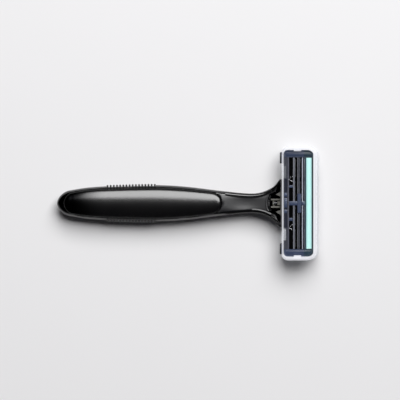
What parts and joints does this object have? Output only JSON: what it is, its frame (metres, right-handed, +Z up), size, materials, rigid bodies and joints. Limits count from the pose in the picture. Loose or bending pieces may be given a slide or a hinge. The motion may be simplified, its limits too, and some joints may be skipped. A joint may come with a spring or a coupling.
{
  "type": "cartridge razor",
  "caption": "Wet-shaving razor with a waisted black handle, ribbed side grips, a pivoting clip-on blade cartridge with a mint lubricating strip, and a clear travel cover.",
  "frame": {"origin": "bottom centre of the bounding box, with the razor lying on its back", "axes": "+X along the handle from the tail to the head, +Y across the head, +Z up out of the shaving face"},
  "size_m": [0.105, 0.0456, 0.012],
  "materials": {
    "handle_black": "satin moulded plastic",
    "grip_black": "smooth gloss-black plastic",
    "grip_rubber": "matt soft grip",
    "mechanism_grey": "dark grey moulded plastic",
    "yoke_black": "black moulded plastic",
    "spring_steel": "plain drawn steel",
    "blade_steel": "ground and polished edge",
    "cartridge_navy": "dark navy moulded plastic",
    "guard_rubber": "soft finned strip",
    "strip_mint": "waxy mint strip",
    "cover_clear": "clear polished plastic"
  },
  "bodies": {
    "handle": {"handle_body": "handle_black", "grip_cover": "grip_black", "back_grip": "grip_rubber", "side_grip_left": "grip_rubber", "side_grip_right": "grip_rubber", "dock_block": "mechanism_grey", "plunger_spring": "spring_steel", "release_spring": "spring_steel"},
    "release_slide": {"release_slide": "yoke_black"},
    "plunger": {"pivot_plunger": "mechanism_grey"},
    "yoke": {"yoke": "yoke_black", "pivot_pin_left": "spring_steel", "pivot_pin_right": "spring_steel"},
    "cartridge": {"cartridge_frame": "cartridge_navy", "guard_strip": "guard_rubber", "blade_1": "blade_steel", "blade_2": "blade_steel", "blade_3": "blade_steel", "blade_support_1": "blade_steel", "blade_support_2": "blade_steel", "blade_support_3": "blade_steel", "blade_clip": "cartridge_navy", "lubricating_strip": "strip_mint"},
    "cover": {"blade_cover": "cover_clear"}
  },
  "joints": [
    {"name": "cartridge_dock", "type": "slide", "parent": "handle", "child": "yoke", "axis": [1, 0, 0], "range_m": [0, 0.014]},
    {"name": "cartridge_pivot", "type": "hinge", "parent": "yoke", "child": "cartridge", "pos_m": [0.0401, 0, 0.0042], "axis": [0, 1, 0], "range_deg": [0, 35], "stiffness_Nm_per_rad": 0.02, "springref_deg": -28.65},
    {"name": "cover_lift", "type": "slide", "parent": "cartridge", "child": "cover", "axis": [0, 0, 1], "range_m": [0, 0.013]},
    {"name": "release_push", "type": "slide", "parent": "handle", "child": "release_slide", "axis": [1, 0, 0], "range_m": [0, 0.0024], "stiffness_N_per_m": 250, "springref_m": -0.002, "deforming": ["release_spring"]},
    {"name": "plunger_slide", "type": "slide", "parent": "handle", "child": "plunger", "axis": [1, 0, 0], "range_m": [-0.00085, 0], "deforming": ["plunger_spring"]}
  ],
  "couplings": [
    {"joint": "plunger_slide", "follows": "cartridge_pivot", "m_per_rad": -0.00122}
  ]
}
